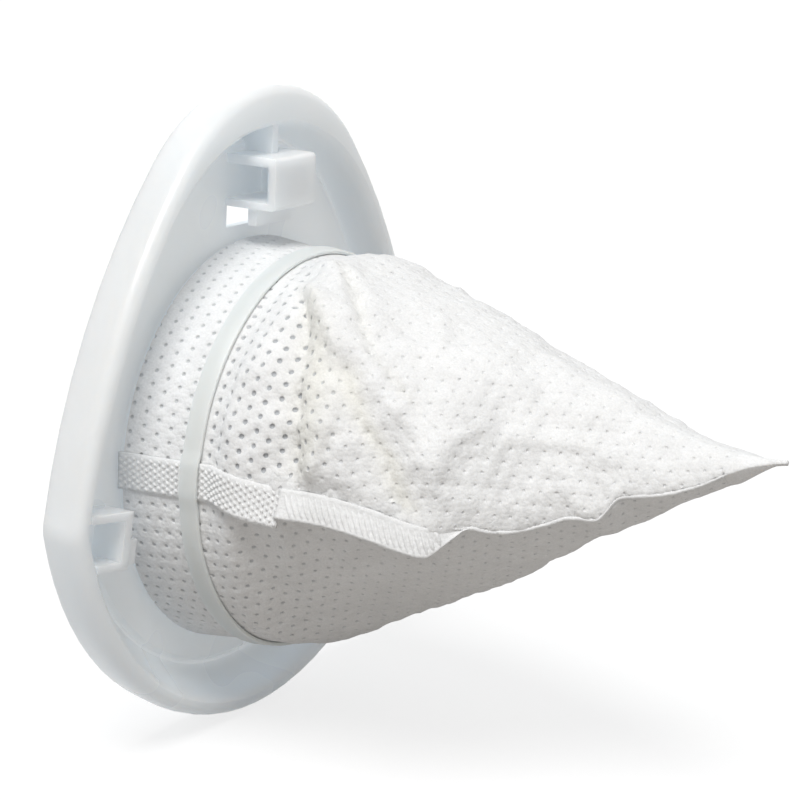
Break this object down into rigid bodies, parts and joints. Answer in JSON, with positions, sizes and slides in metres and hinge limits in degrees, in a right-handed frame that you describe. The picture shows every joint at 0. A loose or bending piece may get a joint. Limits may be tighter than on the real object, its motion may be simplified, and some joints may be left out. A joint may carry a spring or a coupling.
{
  "type": "vacuum cleaner dust filter",
  "caption": "Teardrop snap-in plastic frame with a round collar that carries a perforated cloth cone, clamped by a flat band.",
  "frame": {"origin": "on the collar's axis, in the plane of the frame's flat rear seat", "axes": "+X out of the seat along the collar's axis towards the bag's tip; +Z towards the top clip and the narrow end of the frame; +Y across the frame"},
  "size_m": [0.1236, 0.1238, 0.1296],
  "materials": {
    "milky_plastic": "translucent satin",
    "nonwoven_cloth": "matte embossed",
    "band_plastic": "translucent satin"
  },
  "bodies": {
    "root": {"frame": "milky_plastic", "filter_bag": "nonwoven_cloth", "retaining_band": "band_plastic"}
  },
  "joints": []
}
